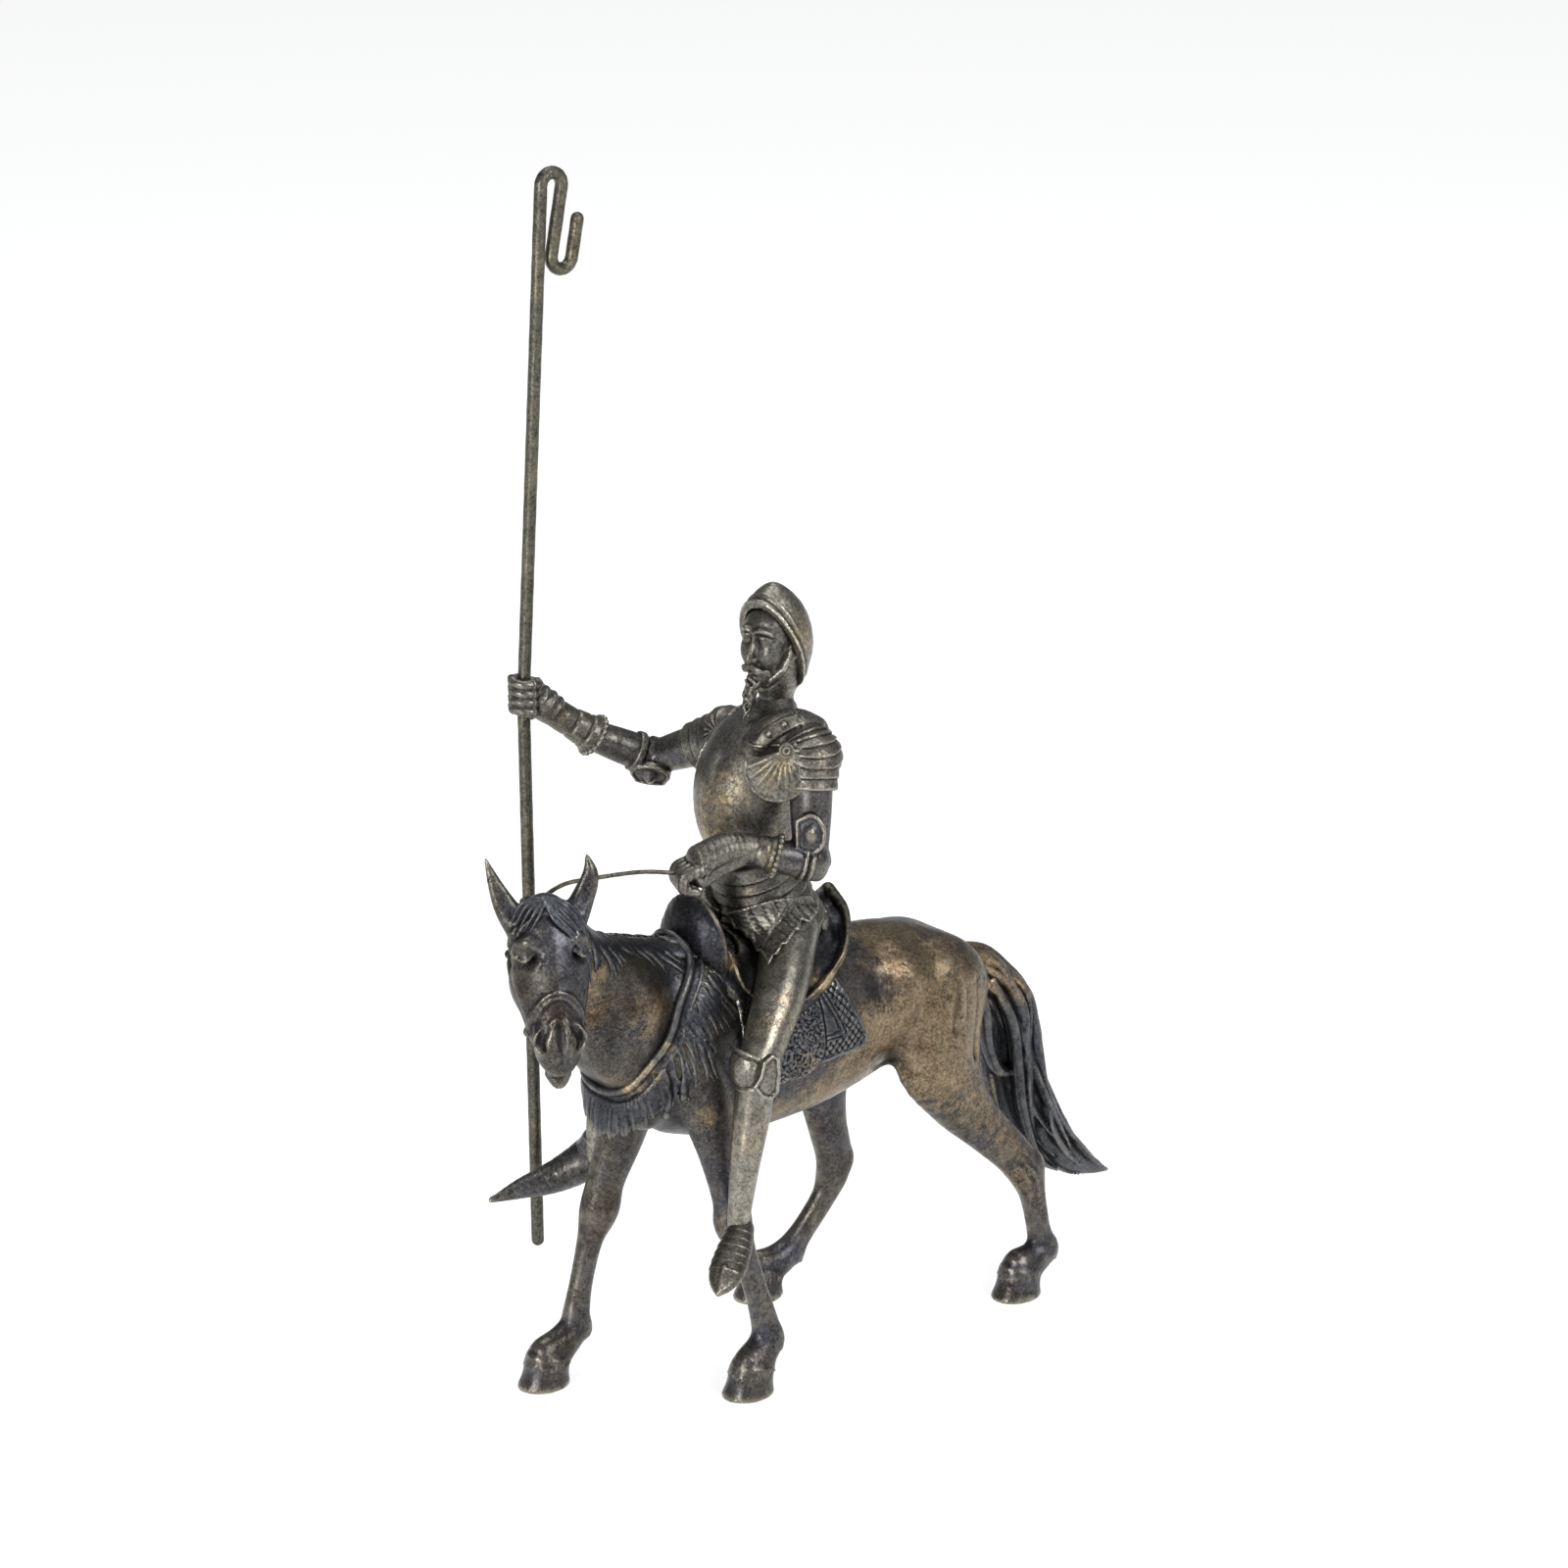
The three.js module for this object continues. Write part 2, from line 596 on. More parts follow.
const LEGS = {
  leftFore: [
    [-31, -10, 88, 6, 10], [-28, -12, 72, 5.8, 8.2], [-26.4, -14, 60, 4.6, 6.2], [-25.6, -15.5, 49, 3.8, 4.6],
    [-25.4, -16, 43, 4.2, 4.6], [-23, -16.5, 36, 2.8, 3.1], [-19.6, -17, 25, 2.5, 2.9], [-17.4, -17.5, 16.5, 2.9, 3.4],
    [-17, -17.8, 12, 3.4, 3.8], [-19.5, -18, 7.5, 3.2, 3.2],
  ],
  rightFore: [
    [-32, 10, 88, 6, 10], [-32, 12, 72, 5.8, 8.6], [-34.4, 14, 58, 4.8, 6.4], [-38.2, 15, 47, 4, 4.8],
    [-39.8, 15.5, 40, 4.3, 4.9], [-42.4, 15.8, 33, 2.9, 3.2], [-45, 16, 23, 2.5, 2.9], [-46.6, 16, 16, 2.8, 3.4],
    [-47.4, 16, 12, 3.3, 3.6], [-51.6, 16, 7.5, 3.2, 3.2],
  ],
  leftHind: [
    [43, -9, 84, 8, 12], [38.5, -12.5, 68, 7, 11], [43, -15, 57, 5.2, 8.4], [52, -16, 46, 3.8, 6],
    [60, -17, 37.5, 3.2, 5.2], [65, -17.6, 30.5, 3.4, 4.7], [66.8, -18, 24, 2.7, 3.4], [68.2, -18.6, 15.5, 2.7, 3.1],
    [69, -19, 10, 3.3, 3.7], [65, -19, 6.5, 3.1, 3.2],
  ],
  rightHind: [
    [42, 9, 84, 8, 12], [31, 12.5, 68, 7, 10.5], [28, 15, 56, 5.2, 7.4], [30, 16, 43.5, 3.9, 5.4],
    [33, 17, 34, 3.4, 4.9], [33.4, 17.6, 28, 3.4, 4.6], [31, 18.2, 22, 2.7, 3.4], [25.4, 19.2, 14.5, 2.7, 3.1],
    [21, 20, 9.6, 3.3, 3.6], [16.6, 20.6, 6.3, 3.1, 3.2],
  ],
};

// The hoof is a blunt cone, longer at the toe, with its sole flat on the ground
const HOOVES = [[-23, -18.2], [-56.4, 16], [60.8, -19], [12.6, 21]];
const HOOF_HEIGHT = 6.4;

function sculptLegs(clay) {
  for (const stations of Object.values(LEGS)) clay.add(limb(stations), 3);
  clay.add(ball([67.6, -17.4, 33], [2.2, 2, 3], { third: [-0.4, 0, 1] }), 2);
  clay.add(ball([36.4, 17, 31.5], [2.2, 2, 3], { third: [-0.2, 0, 1] }), 2);
  for (const [x, y] of HOOVES) {
    clay.add(sleeve([x + 1.2, y, HOOF_HEIGHT], [x, y, -1.5], [3.9, 4.3], [6, 7.2]), 0.8);
  }
}

function sculptTail(clay) {
  clay.add(limb([
    [55, 0, 82, 3, 3.4], [63, -0.5, 80, 4.4, 4.4], [70.5, -1, 71, 5.4, 5.8], [74, -1.4, 60, 6, 6.8], [76.6, -1.8, 46, 6, 7],
    [83, -2, 33.5, 5, 7], [93.5, -1.6, 22.5, 3.6, 5.2], [102, -1, 16.6, 2, 2.8], [109, -0.4, 13.5, 0.6, 0.6],
  ]), 1.5);
}

const TAIL_LOCKS = 7;

function sculptTailLocks(clay) {
  range(TAIL_LOCKS, (n) => {
    const turn = (n / TAIL_LOCKS) * 2 * Math.PI;
    const path = [[64, 79, 3.6], [72, 69, 5.4], [75, 57, 6], [78.6, 43, 6.2], [87, 29.5, 5.4], [98 + (n % 3) * 2, 18.6 - (n % 2), 2.4]];
    clay.add(limb(path.map(([x, z, spread], k) => {
      const swing = turn + 0.22 * k;
      const thick = 1.9 - 0.28 * k;
      return [x + spread * Math.sin(swing) * 0.8, -1.4 + spread * Math.cos(swing), z + spread * Math.sin(swing) * 0.5, thick];
    })), 0.5);
  });
}

const MANE_LOCKS = 9;

function sculptMane(clay) {
  const crest = throughRows([[-66, -7, 122.4], [-59, -4.8, 117.6], [-50, -2.6, 113.4], [-40, -1, 110.2], [-31, 0, 108]], 4);
  range(MANE_LOCKS, (n) => {
    const root = crest[Math.round((n / (MANE_LOCKS - 1)) * (crest.length - 1))];
    const path = [0, 1, 2, 3].map((k) => clay.onSurface([root[0] + 1.8 * k, root[1] - 3.4 * k, root[2] - 3.4 * k], 0.2));
    clay.add(limb(path.map((p, k) => [...p, 1.7 - 0.35 * k])), 0.6);
  });
}

// Tack cast with the horse: bridle, breast collar with its fringe, and the saddle cloth

function sculptBridle(clay) {
  const strap = (rows) => clay.raise(headLimb(rows), 0.7, 0.8);
  strap([[12, -8.6, -7, 1.1], [7, -6.6, -0.6, 1.1], [3, -1, 1.4, 1.1], [6, 4.6, 0.8, 1.1], [11, 8, -3.4, 1.1], [18, 8, -10, 1.1]]);
  strap([[12, -8.4, -7.4, 1], [20, -7, -6, 1], [28, -5.2, -4.8, 1]]);
  strap([[31, -4.4, -7, 1], [28, -5.2, -3, 1], [24, -3, 0.8, 1], [22.8, 0, 1.7, 1], [24, 3, 0.8, 1], [28, 5.2, -3, 1], [31, 4.4, -7, 1]]);
}

// The collar runs round the base of the neck; its line is given for one side
const COLLAR_LINE = [[-26.5, 3, 109], [-34, 11, 101], [-41, 13, 90.5], [-46.6, 9, 79.5], [-49, 0, 74.5]];
const COLLAR_STRANDS = 11;

function sculptCollar(clay) {
  both((side) => {
    const line = throughRows(COLLAR_LINE.map(([x, y, z]) => [x, side * y, z]), 6);
    clay.raise(limb(line.map((p) => [...p, 1.7]), { steps: 1 }), 1.1, 0.8);
    range(COLLAR_STRANDS, (n) => {
      const root = line[Math.round(3 + (n / COLLAR_STRANDS) * (line.length - 4))];
      const drop = 2.6 + 2.2 * Math.abs(Math.sin(n * 2.4));
      const path = [0.5, 1.2, 2, 2.8].map((k) => clay.onSurface([root[0] + 0.9 * k, root[1], root[2] - drop * k], 0.3));
      clay.add(limb(path.map((p, k) => [...p, 1.25 - 0.22 * k])), 0.4);
    });
  });
}

// The cloth lies over the back behind the withers, with a straight lower edge and a pointed rear corner
function sculptCloth(clay) {
  const bare = clay.copy();
  const spread = block([-21, -24, 70], [15.5, 24, 112]);
  const region = trimmed(trimmed(spread, [14.4, 0, 79], [0.18, 0, -1]), [14.6, 0, 79], [1, 0, 0.06]);
  clay.coat(bare, region, CLOTH_THICKNESS / UNIT);
}

function sculptHorse() {
  const clay = new Clay([-98, -40, -3], [112, 30, 152]);
  sculptTrunk(clay);
  sculptNeck(clay);
  sculptLegs(clay);
  sculptHorseHead(clay);
  sculptTail(clay);
  sculptTailLocks(clay);
  sculptMane(clay);
  sculptCloth(clay);
  sculptCollar(clay);
  sculptBridle(clay);
  return clay;
}

// The saddle: skirts that hug the cloth, a seat, a tall rounded pommel plate and a curved cantle

function sculptSaddle(horse) {
  const clay = new Clay([-34, -26, 84], [28, 26, 124]);
  clay.coat(horse, ball([-4, 0, 102], [21, 30, 11.5]), SADDLE_THICKNESS / UNIT);
  clay.add(limb([[-20, 0, 103, 7, 4.4], [-4, 0, 101.5, 9, 4], [12, 0, 101.5, 9, 4.6]], { deep: [0, 0, 1] }), 2);
  const lean = { third: [-0.12, -0.12, 1] };
  clay.add(ball([-24.2, -1, 106.2], [2.3, 11, 13], lean), 1.6);
  clay.cut(ball([-29.8, -1, 109], [4.4, 7.6, 8], lean), 1);
  clay.add(limb([
    [-6, -17, 92.5, 1.3, 2], [5, -15.6, 95, 1.7, 3.4], [12.6, -11, 100, 2, 5], [15.4, 0, 104.4, 2.2, 5.4],
    [12.6, 11, 100, 2, 5], [5, 15.6, 95, 1.7, 3.4], [-6, 17, 92.5, 1.3, 2],
  ], { deep: [0, 0, 1] }), 1.2);
  return clay.clear(horse, FIT_GAP / UNIT + FACET_ALLOWANCE);
}

// The rider

const KNEE = { x: -25.5, y: 25, z: 85.5 };
const RIDER_HEAD = [0.8, 0, 173];
const RIDER_TURN = degrees(12);
const faceForward = [-Math.cos(RIDER_TURN), -Math.sin(RIDER_TURN), 0];
const faceLeft = [Math.sin(RIDER_TURN), -Math.cos(RIDER_TURN), 0];
const onFace = (forward, left, up) => add(add(add(RIDER_HEAD, faceForward, forward), faceLeft, left), [0, 0, 1], up);
const faceBall = (at, radii) => ball(onFace(...at), radii, { first: faceForward });
const faceLimb = (rows) => limb(rows.map(([forward, left, up, ...sizes]) => [...onFace(forward, left, up), ...sizes]), { deep: faceForward });

// Overlapping rings along a tapering stretch of armour; each ring flares a little at its lower edge
function addLames(clay, from, to, sizesFrom, sizesTo, count, flare, deep) {
  range(count, (n) => {
    const [start, end] = [n / count, (n + 1.15) / count];
    const lower = mix(sizesFrom, sizesTo, end).map((value) => value + flare);
    clay.add(sleeve(mix(from, to, start), mix(from, to, end), mix(sizesFrom, sizesTo, start), lower, deep));
  });
}

function sculptTorso(clay) {
  clay.add(limb([
    [-1, 0, 107, 9.5, 8.4],
    [-3, 0, 117, 8.8, 8],
    [-5, 0, 124.5, 8.4, 8.2],
    [-8, 0, 133, 11, 11.2],
    [-7.8, 0, 141.5, 12, 12],
    [-4.8, 0, 149, 12, 9.2],
    [-1.6, 0, 153.4, 9, 6],
    [0.6, 0, 157.5, 4.8, 4.8],
  ]));
  clay.add(sleeve([0.2, 0, 154], [1, 0, 159], [6, 6.4], [4.7, 5]), 0.6);
  clay.add(sleeve([-5.4, 0, 125.2], [-4.8, 0, 123.4], [9, 9], [9.8, 9.9]), 0.4);
  clay.add(limb([[0.8, 0, 156, 4.4], [1.4, 0, 168, 4.2]]), 1);
  both((side) => {
    clay.raise(limb([[-5, side * 9, 155.5, 0.9], [-13.5, side * 10.5, 148, 0.9], [-14.5, side * 11.5, 141, 0.9]]), 0.7, 0.8);
  });
}

function sculptHead(clay) {
  clay.add(faceBall([-0.6, 0, 3], [8.4, 6.9, 8.4]));
  clay.add(faceLimb([[3.6, 0, 3, 5.7, 4.2], [4, 0, -3.5, 5, 4], [5, 0, -7.4, 3, 3]]), 1.5);
  clay.add(faceLimb([[7.4, 0, 2.6, 0.7], [9.2, 0, -1.8, 1.1], [8.3, 0, -3, 1.3]]), 0.8);
  clay.add(faceLimb([[7.2, -4.2, 3.8, 0.7], [8.1, -2, 4.2, 0.8], [7.9, 0, 3.6, 0.6], [8.1, 2, 4.2, 0.8], [7.2, 4.2, 3.8, 0.7]]), 0.8);
  both((side) => {
    clay.cut(faceBall([8.4, side * 2.6, 1.9], [1.6, 1.7, 1]), 0.8);
    clay.add(faceBall([6.6, side * 2.6, 1.9], 1.3), 0.3);
    clay.add(faceBall([6.4, side * 3.8, -2], [1.6, 1.6, 1.8]), 1.5);
    clay.add(faceLimb([[8.7, side * 0.4, -4.4, 0.8], [8.2, side * 2.6, -4.6, 0.8], [6.8, side * 4.6, -4.2, 0.35]]), 0.4);
  });
  clay.add(faceLimb([[7.4, 0, -6.8, 1.3], [7.6, 0, -9.6, 1.7], [7.6, 0, -13, 1.4], [7.2, 0, -16.4, 0.5]]), 0.6);
}

// The helmet is a pointed dome with a short peak, cut open over the face along a sloping plane
const HELMET_RIM = 1.5;

function sculptHelmet(clay) {
  const dome = new Clay([-18, -18, 156], [20, 18, 192]);
  dome.add(faceLimb([[-1, 0, -4, 7.4, 8], [-0.6, 0, 0.5, 8.2, 9], [-0.4, 0, 5, 7.2, 7.8], [0, 0, 9, 4.6, 4.9], [0, 0, 13.7, 0.8, 0.8]]));
  dome.add(faceLimb([[1, 0, 7.4, 4.6, 3.6], [5, 0, 9.2, 2.6, 1.5], [7.8, 0, 10.8, 0.9, 0.6]]), 1.2);
  const brow = onFace(8.6, 0, 11.8);
  const slope = unit(add(faceForward.map((value) => value * 0.78), [0, 0, 1], -0.63));
  const openness = (p) => dot(subtract(p, brow), slope);
  clay.visit(block([-16, -16, 158], [18, 16, 190]), 0, (old, d, p) => {
    const rim = 0.7 * smoothStep((openness(p) + HELMET_RIM) / 0.5);
    return Math.min(old, Math.max(dome.at(p) - rim, openness(p)));
  });
  clay.add(faceLimb([[-2, 0, -6, 6.2, 6.6], [-1.6, 0, -10, 4.8, 5.4], [-0.6, 0, -15, 4.4, 4.8]]), 1);
  both((side) => {
    clay.add(faceLimb([[-1.6, side * 6.8, -2.6, 0.8], [2.4, side * 6.4, -5.4, 0.8], [4.6, side * 3.4, -8.6, 0.7]]), 0.4);
  });
}

function sculptPauldron(clay, side, shoulder, elbow) {
  clay.add(ball([shoulder[0], shoulder[1], shoulder[2] + 0.4], [6.6, 5.8, 5.6]), 1.5);
  addLames(clay, mix(shoulder, elbow, 0.02), mix(shoulder, elbow, 0.44), [5.9, 6.2], [4.9, 5.1], 4, 0.6);
}

// A standing band edges the left shoulder towards the neck
function sculptShoulderBand(clay) {
  clay.add(limb([[2.4, -9.6, 157.6, 1.4, 2.6], [-4, -11.8, 157.4, 1.5, 3], [-9.6, -12, 154, 1.3, 2.6]], { deep: [0.3, -1, 0.3] }), 0.8);
  clay.add(limb([[0, -8, 152.5, 4.6], [-1.6, -14.6, 152.4, 5.4]]), 2);
}

// The fan plate guards the armpit: a round plate with ribs that spread from a boss
const FAN = { centre: [-12.4, -15.8, 150.4], normal: unit([-0.7, -0.68, 0.12]), radius: 7.6 };
const FAN_RIBS = 7;

function sculptFanPlate(clay) {
  const { centre, normal, radius } = FAN;
  const across = unit(cross([0, 0, 1], normal));
  const upward = cross(normal, across);
  clay.add(ball(centre, [radius, 1.3, radius], { first: across, third: upward }), 0.3);
  const boss = add(add(add(centre, upward, 4.4), across, -1.4), normal, 0.8);
  range(FAN_RIBS, (n) => {
    const angle = degrees(200 + (140 * n) / (FAN_RIBS - 1));
    const tip = add(add(centre, across, 0.86 * radius * Math.cos(angle)), upward, 0.86 * radius * Math.sin(angle));
    clay.add(limb([[...boss, 0.5], [...add(mix(boss, tip, 0.9), normal, -0.2), 0.7]]), 0.3);
  });
  clay.add(ball(add(boss, normal, 0.5), 1.6), 0.2);
}

const LEFT_ARM = {
  shoulder: [-3.2, -17.2, 151], elbow: [-7, -22.8, 128.8], cuff: [-14.6, -18.8, 130.8], wrist: [-19.6, -14.8, 132.8],
};
const RIGHT_ARM = {
  shoulder: [-1, 15, 147.6], elbow: [-8.6, 33, 139.4], cuff: [-21.4, 38.8, 146], wrist: [-29, 41, 151.6],
};

function sculptArm(clay, { shoulder, elbow, cuff, wrist }, bend) {
  clay.add(limb([[...shoulder, 5], [...mix(shoulder, elbow, 0.5), 4.4], [...elbow, 3.8]]), 1);
  clay.add(limb([[...elbow, 4], [...mix(elbow, cuff, 0.5), 4], [...cuff, 3.5]]), 1);
  clay.add(sleeve(cuff, wrist, [4.5, 4.5], [3.1, 3.1]), 0.4);
  clay.add(limb([[...mix(cuff, wrist, 0.6), 3.4], [...wrist, 3.1]]), 0.6);
  const band = mix(elbow, cuff, 0.28);
  clay.add(sleeve(mix(elbow, cuff, 0.14), band, [4.7, 4.7], [4.5, 4.5]), 0.3);
  clay.add(ball(add(elbow, bend, 2.2), [2.6, 3.4, 4.2], { first: bend, third: subtract(shoulder, elbow) }), 0.8);
}

const ROD_GRIP = [-37.7, 44, 157];
const FINGERS = 4;

// The right fist: fingers wrap the rod from its rear side round the front
function sculptRightHand(clay) {
  const { wrist } = RIGHT_ARM;
  clay.add(limb([[...wrist, 3.1], [-32.4, 42.4, 154.6, 3.8], [-34.4, 43.4, 156.6, 3.6]]), 1);
  const rodRadius = ROD_DIAMETER / 2 / UNIT;
  range(FINGERS, (n) => {
    const z = ROD_GRIP[2] - 3.2 + 2.15 * n;
    const arc = range(6, (k) => degrees(-10 - 42 * k));
    const path = arc.map((angle, k) => {
      const ring = rodRadius + 1.9 - 0.12 * k;
      return [ROD_GRIP[0] + ring * Math.cos(angle), ROD_GRIP[1] + ring * Math.sin(angle), z + 0.35 * k, 1.4 - 0.06 * k];
    });
    clay.add(limb(path, { steps: 2 }), 0.25);
  });
  clay.add(limb([[-33, 45.4, 159, 1.8], [-36.6, 47.4, 160.6, 1.4], [-39.4, 45.8, 161.4, 1.2]]), 0.4);
}

// The left hand droops from the raised wrist, its fingers curled over the rein
function sculptLeftHand(clay) {
  clay.add(limb([[...LEFT_ARM.wrist, 3.1, 3], [-24, -12.6, 133.2, 3.8, 3], [-29, -10.4, 130.8, 4.3, 2.8]], { deep: [0, 0, 1] }), 1);
  range(FINGERS, (n) => {
    const [x, y] = [-31 + 0.9 * (n - 1.5), -9.6 + 1.9 * (n - 1.5)];
    clay.add(limb([[x + 1.6, y - 1, 130, 1.5], [x - 1.8, y + 0.6, 128.8, 1.4], [x - 2, y + 0.8, 126, 1.3], [x + 0.4, y - 0.4, 125, 1]]), 0.25);
  });
  clay.add(limb([[-22, -16.4, 130.4, 1.7], [-27, -14.6, 128.8, 1.6], [-30.8, -12.6, 126.4, 1.3]]), 0.4);
}

const FAULD_LAMES = 4;

// A tasset is a pointed plate that hangs from the fauld over the thigh
const TASSET_TILT = [-0.19, -0.576, 0.796];

function sculptSkirt(clay) {
  addLames(clay, [-5.6, 0, 124.4], [-4.4, 0, 113], [9, 8.8], [11.4, 10.4], FAULD_LAMES, 0.6);
  clay.add(sleeve([-3.4, 0, 113.6], [0.6, 0, 106], [11.2, 9.8], [13, 11.4]), 0.5);
  both((side) => {
    const deep = [TASSET_TILT[0], TASSET_TILT[1] * -side, TASSET_TILT[2]];
    const row = (x, y, z, wide) => [...add([x, side * y, z], deep, 0.6), wide, 1];
    clay.add(limb([row(-9, 10.6, 113.8, 10.4), row(-11.2, 14, 111, 8.4), row(-14, 17, 108, 4.6), row(-16.2, 18.6, 105.6, 1)], { deep }), 0.3);
  });
}

function sculptLeg(clay, side) {
  const at = (x, y, z, ...sizes) => [x, side * y, z, ...sizes];
  const knee = at(KNEE.x, KNEE.y, KNEE.z);
  clay.add(limb([at(-3, 9.6, 107, 6.6), at(-13.4, 18.4, 97.6, 5.9), [...knee, 4.6]]), 2);
  clay.add(limb([[...knee, 4.4], at(-27.6, 25.6, 74.6, 4.3), at(-30.4, 26.2, 62, 3.6), at(-32.4, 26.2, 50, 2.7)]), 1.5);
  clay.add(ball(add(knee, [-1.2, 0, -0.4]), [4.9, 4.9, 5.6]), 0.6);
  clay.add(limb([at(-27, 29.4, 88.6, 1, 1.9), at(-27.4, 29.8, 84.6, 1, 3.6), at(-27, 29.2, 80.6, 0.9, 1.6)], { deep: [1, 0, 0] }), 0.3);
  clay.add(sleeve(at(-26.4, 25.2, 81.6), at(-26.8, 25.3, 79.6), [4.9, 4.9], [5.3, 5.3]), 0.3);
  clay.add(limb([at(-31, 26, 48, 3, 3.2), at(-38, 31.4, 44, 3.7, 2.6), at(-44, 35.6, 41.2, 3.3, 2), at(-50.4, 39.8, 38.2, 0.5, 0.6)],
    { deep: [0.3, 0, 1] }), 1);
  addLames(clay, at(-35, 29.2, 46), at(-45.4, 36.6, 40.7), [3.7, 2.8], [3.1, 1.9], 4, 0.4, [0.3, 0, 1]);
}

function sculptRider(horse, saddle) {
  const clay = new Clay([-62, -48, 26], [26, 54, 194]);
  sculptTorso(clay);
  sculptSkirt(clay);
  sculptHead(clay);
  sculptHelmet(clay);
  both((side) => sculptLeg(clay, side));
  sculptPauldron(clay, LEFT, LEFT_ARM.shoulder, LEFT_ARM.elbow);
  sculptPauldron(clay, RIGHT, RIGHT_ARM.shoulder, RIGHT_ARM.elbow);
  sculptArm(clay, LEFT_ARM, [0.7, -0.6, -0.4]);
  sculptArm(clay, RIGHT_ARM, [0.5, 0.4, -0.8]);
  sculptShoulderBand(clay);
  sculptFanPlate(clay);
  sculptLeftHand(clay);
  sculptRightHand(clay);
  const gap = FIT_GAP / UNIT + FACET_ALLOWANCE;
  clay.clear(saddle, gap).clear(horse, gap);
  const channel = (points, diameter) => limb(points.map((p) => [...p.map((value) => value / UNIT), diameter / 2 / UNIT + gap]), { steps: 1 });
  clay.cut(channel(rodRoute(), ROD_DIAMETER));
  clay.cut(channel(reinPoints(horse).slice(0, 6), REIN_DIAMETER));
  return clay;
}

// The rod is bent from one length of wire: a shaft with a slight bend at the grip, then a loop and a hook

const ROD_LEAN_BELOW = degrees(-0.5);
const ROD_LEAN_ABOVE = degrees(3.6);
const HOOK_LEAN = degrees(11.5);
const arcPoints = ([x, y, z], radius, from, to, count) => range(count, (k) => {
  const angle = from + ((to - from) * k) / (count - 1);
  return [x + radius * Math.cos(angle), y, z + radius * Math.sin(angle)];
});

function rodRoute() {
  const grip = ROD_GRIP.map((value) => value * UNIT);
  const along = (start, lean, length) => add(start, [Math.sin(lean), 0, Math.cos(lean)], length);
  const foot = along(grip, ROD_LEAN_BELOW + Math.PI, ROD_LENGTH_BELOW_HAND);
  const shoulder = along(grip, ROD_LEAN_ABOVE, ROD_LENGTH_ABOVE_HAND);
  const crown = add(shoulder, [HOOK_BEND_RADIUS, 0, 0]);
  const down = Math.PI + HOOK_LEAN;
  const over = arcPoints(crown, HOOK_BEND_RADIUS, Math.PI - ROD_LEAN_ABOVE, -HOOK_LEAN, 8);
  const returned = along(over[over.length - 1], down, HOOK_RETURN_LENGTH);
  const cupCentre = add(returned, [Math.cos(HOOK_LEAN), 0, -Math.sin(HOOK_LEAN)], HOOK_BEND_RADIUS);
  const cup = arcPoints(cupCentre, HOOK_BEND_RADIUS, Math.PI - HOOK_LEAN, 2 * Math.PI - HOOK_LEAN, 8);
  const tip = along(cup[cup.length - 1], HOOK_LEAN, HOOK_TIP_LENGTH);
  return [
    foot, mix(foot, grip, 0.45), mix(foot, grip, 0.9), grip, mix(grip, shoulder, 0.1), mix(grip, shoulder, 0.55),
    ...over, mix(over[over.length - 1], returned, 0.5), ...cup, mix(cup[cup.length - 1], tip, 0.5), tip,
  ];
}

// The rein is a stiff wire from the left hand, behind the poll and down the far cheek to the bit

const REIN_ROUTE = [
  [-31, -10, 127.4], [-36, -8, 128.8], [-43, -5, 129.8], [-52, -1.4, 129.6], [-60, 0, 129.6], [-68, -2.6, 129.2], onHead(0, -1.5, -8), onHead(0.6, -3, -6),
];

function reinPoints(horse) {
  const lift = REIN_DIAMETER / 2 / UNIT + FIT_GAP / UNIT + FACET_ALLOWANCE;
  const free = throughRows(REIN_ROUTE, 3).map((p) => (horse.at(p) < lift ? horse.onSurface(p, lift) : p));
  return free.map((p) => p.map((value) => value * UNIT));
}

// A wire through given points: an extruded round section that stops only at those points
class WireRoute extends THREE.Curve {
  constructor(points) {
    super();
    this.points = points.map((p) => new THREE.Vector3(...p));
  }

  getPoint(t) {
    const place = t * (this.points.length - 1);
    const k = Math.min(Math.floor(place), this.points.length - 2);
    return this.points[k].clone().lerp(this.points[k + 1], place - k);
  }

  getPointAt(t) {
    return this.getPoint(t);
  }

  getTangentAt(t) {
    const k = Math.round(t * (this.points.length - 1));
    const before = this.points[Math.max(k - 1, 0)];
    const after = this.points[Math.min(k + 1, this.points.length - 1)];
    return after.clone().sub(before).normalize();
  }
}

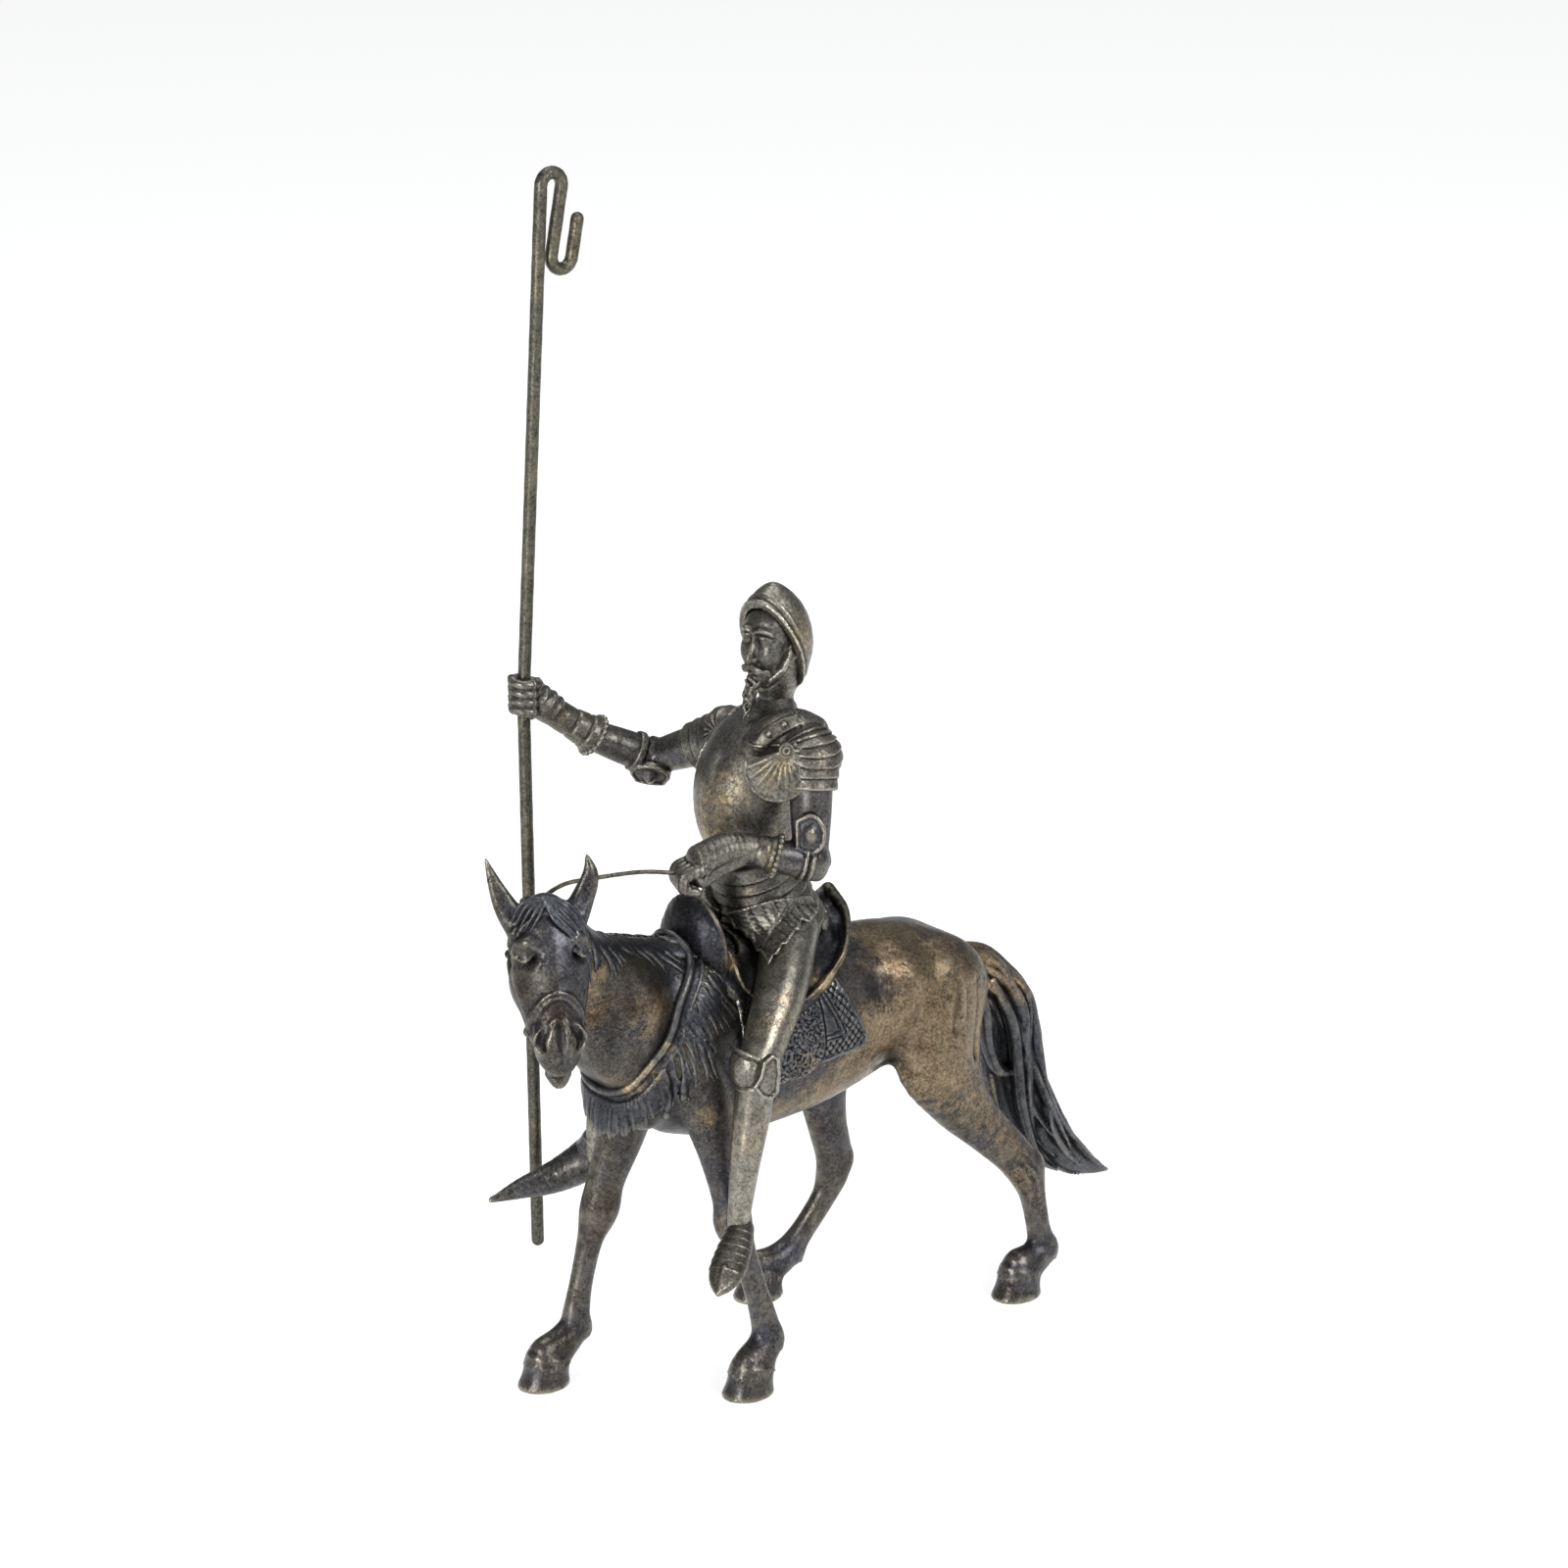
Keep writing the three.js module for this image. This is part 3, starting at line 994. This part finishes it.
function wireGeometry(points, diameter, sides) {
  const corners = range(sides, (k) => {
    const angle = (2 * Math.PI * k) / sides;
    return new THREE.Vector2(Math.cos(angle) * (diameter / 2), Math.sin(angle) * (diameter / 2));
  });
  const route = new WireRoute(points);
  return new THREE.ExtrudeGeometry(new THREE.Shape(corners), { steps: points.length - 1, extrudePath: route, curveSegments: 1 });
}

// Soles and every other low point are cut flat at the ground
function cutAtGround(geometry) {
  const ground = new THREE.BoxGeometry(400 * UNIT, 200 * UNIT, 20 * UNIT).translate(0, 0, -10 * UNIT);
  const solid = (shape) => {
    const plain = shape.clone();
    for (const name of ['normal', 'uv']) plain.deleteAttribute(name);
    const merged = mergeVertices(plain);
    return new wasm.Manifold(new wasm.Mesh({
      numProp: 3, vertProperties: merged.attributes.position.array, triVerts: Uint32Array.from(merged.index.array),
    }));
  };
  const cut = solid(geometry).subtract(solid(ground)).getMesh();
  const result = new THREE.BufferGeometry();
  result.setAttribute('position', new THREE.Float32BufferAttribute(cut.vertProperties, 3));
  result.setIndex(Array.from(cut.triVerts));
  return result;
}

const horseClay = sculptHorse();
const saddleClay = sculptSaddle(horseClay);
const riderClay = sculptRider(horseClay, saddleClay);
const reinLine = reinPoints(horseClay);

const group = new THREE.Group();
const addPiece = (name, geometry, color, roughness) => {
  const mesh = new THREE.Mesh(geometry, new THREE.MeshStandardMaterial({ color, roughness, metalness: 0.9 }));
  mesh.name = name;
  group.add(mesh);
};
addPiece('horse', cutAtGround(castGeometry(horseClay, HORSE_FACETS)), 0x5a4f40, 0.4);
addPiece('saddle', castGeometry(saddleClay, SADDLE_FACETS), 0x35343a, 0.45);
addPiece('rider', castGeometry(riderClay, RIDER_FACETS), 0x6b6454, 0.38);
addPiece('rod', wireGeometry(rodRoute(), ROD_DIAMETER, 10), 0x5c5a48, 0.42);
addPiece('rein', wireGeometry(reinLine, REIN_DIAMETER, 8), 0x6a6a68, 0.42);

// The origin is the middle of the footprint, on the ground
const bounds = new THREE.Box3().setFromObject(group);
const centre = bounds.getCenter(new THREE.Vector3());
group.position.set(-centre.x, -centre.y, -bounds.min.z);

export default group;
